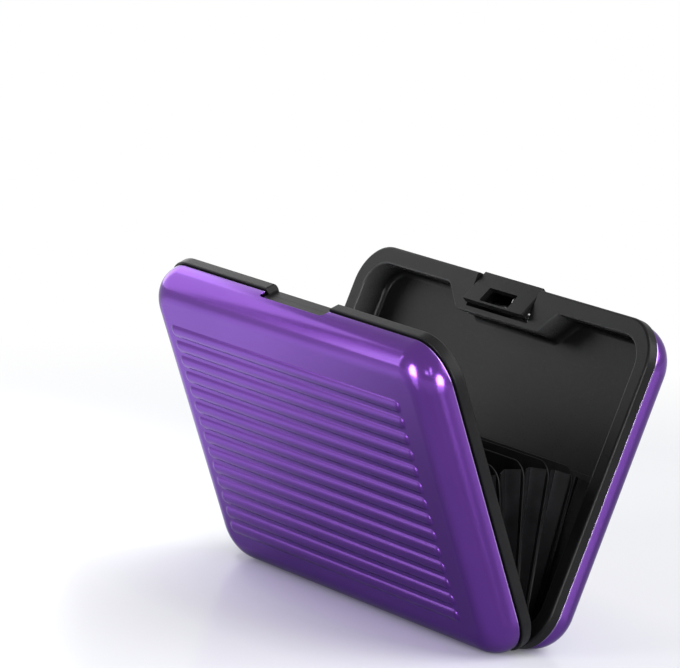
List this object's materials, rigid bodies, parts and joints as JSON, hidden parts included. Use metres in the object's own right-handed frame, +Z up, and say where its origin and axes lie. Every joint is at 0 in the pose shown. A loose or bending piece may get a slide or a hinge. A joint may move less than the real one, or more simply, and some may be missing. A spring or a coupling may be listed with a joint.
{
  "type": "card holder",
  "caption": "Slim hard card holder: two aluminium-skinned halves hinged on one long edge, ribbed front, spring latch, accordion card pockets, shown open in a V.",
  "frame": {"origin": "bottom centre of the open case's box, on the surface that it stands on", "axes": "+X along the hinge, +Y from the ribbed front half to the smooth rear half, +Z up"},
  "size_m": [0.11, 0.0681, 0.0709],
  "materials": {
    "anodised_aluminium": "glossy purple anodised",
    "moulded_plastic": "black, fine satin texture",
    "pocket_sheet": "black thin sheet, low gloss",
    "steel": "bright drawn",
    "mounting_tape": "pale foam tape"
  },
  "bodies": {
    "root": {"rear_skin": "anodised_aluminium", "rear_frame": "moulded_plastic", "rear_skin_tape": "mounting_tape", "latch_pin": "steel", "latch_spring": "steel", "hinge_pin_left": "steel", "hinge_pin_right": "steel", "rear_panel": "pocket_sheet"},
    "front_half": {"front_skin": "anodised_aluminium", "front_frame": "moulded_plastic", "front_skin_tape": "mounting_tape", "catch_plate": "moulded_plastic", "catch_screw_left": "steel", "catch_screw_right": "steel", "front_panel": "pocket_sheet", "gusset_left_6": "pocket_sheet", "gusset_right_6": "pocket_sheet"},
    "latch": {"latch_lever": "moulded_plastic"},
    "divider_1": {"divider_1": "pocket_sheet", "gusset_left_1": "pocket_sheet", "gusset_right_1": "pocket_sheet"},
    "divider_2": {"divider_2": "pocket_sheet", "gusset_left_2": "pocket_sheet", "gusset_right_2": "pocket_sheet"},
    "divider_3": {"divider_3": "pocket_sheet", "gusset_left_3": "pocket_sheet", "gusset_right_3": "pocket_sheet"},
    "divider_4": {"divider_4": "pocket_sheet", "gusset_left_4": "pocket_sheet", "gusset_right_4": "pocket_sheet"},
    "divider_5": {"divider_5": "pocket_sheet", "gusset_left_5": "pocket_sheet", "gusset_right_5": "pocket_sheet"}
  },
  "joints": [
    {"name": "case_hinge", "type": "hinge", "parent": "root", "child": "front_half", "pos_m": [0, 0, 0.00361], "axis": [-1, 0, 0], "range_deg": [0, 43.4], "deforming": ["gusset_left_6", "gusset_right_6"]},
    {"name": "latch_press", "type": "hinge", "parent": "root", "child": "latch", "pos_m": [0, 0.03094, 0.06352], "axis": [1, 0, 0], "range_deg": [0, 6], "stiffness_Nm_per_rad": 0.1, "springref_deg": -5.73, "deforming": ["latch_spring"]},
    {"name": "divider_1_hinge", "type": "hinge", "parent": "root", "child": "divider_1", "pos_m": [0, 0, 0.00361], "axis": [-1, 0, 0], "range_deg": [0, 7.23], "deforming": ["gusset_left_1", "gusset_right_1"]},
    {"name": "divider_2_hinge", "type": "hinge", "parent": "divider_1", "child": "divider_2", "pos_m": [0, 0, 0.00361], "axis": [-1, 0, 0], "range_deg": [0, 7.23], "deforming": ["gusset_left_2", "gusset_right_2"]},
    {"name": "divider_3_hinge", "type": "hinge", "parent": "divider_2", "child": "divider_3", "pos_m": [0, 0, 0.00361], "axis": [-1, 0, 0], "range_deg": [0, 7.23], "deforming": ["gusset_left_3", "gusset_right_3"]},
    {"name": "divider_4_hinge", "type": "hinge", "parent": "divider_3", "child": "divider_4", "pos_m": [0, 0, 0.00361], "axis": [-1, 0, 0], "range_deg": [0, 7.23], "deforming": ["gusset_left_4", "gusset_right_4"]},
    {"name": "divider_5_hinge", "type": "hinge", "parent": "divider_4", "child": "divider_5", "pos_m": [0, 0, 0.00361], "axis": [-1, 0, 0], "range_deg": [0, 7.23], "deforming": ["gusset_left_5", "gusset_right_5"]}
  ],
  "couplings": [
    {"joint": "divider_1_hinge", "follows": "case_hinge", "ratio": 0.16667},
    {"joint": "divider_2_hinge", "follows": "case_hinge", "ratio": 0.16667},
    {"joint": "divider_3_hinge", "follows": "case_hinge", "ratio": 0.16667},
    {"joint": "divider_4_hinge", "follows": "case_hinge", "ratio": 0.16667},
    {"joint": "divider_5_hinge", "follows": "case_hinge", "ratio": 0.16667}
  ]
}
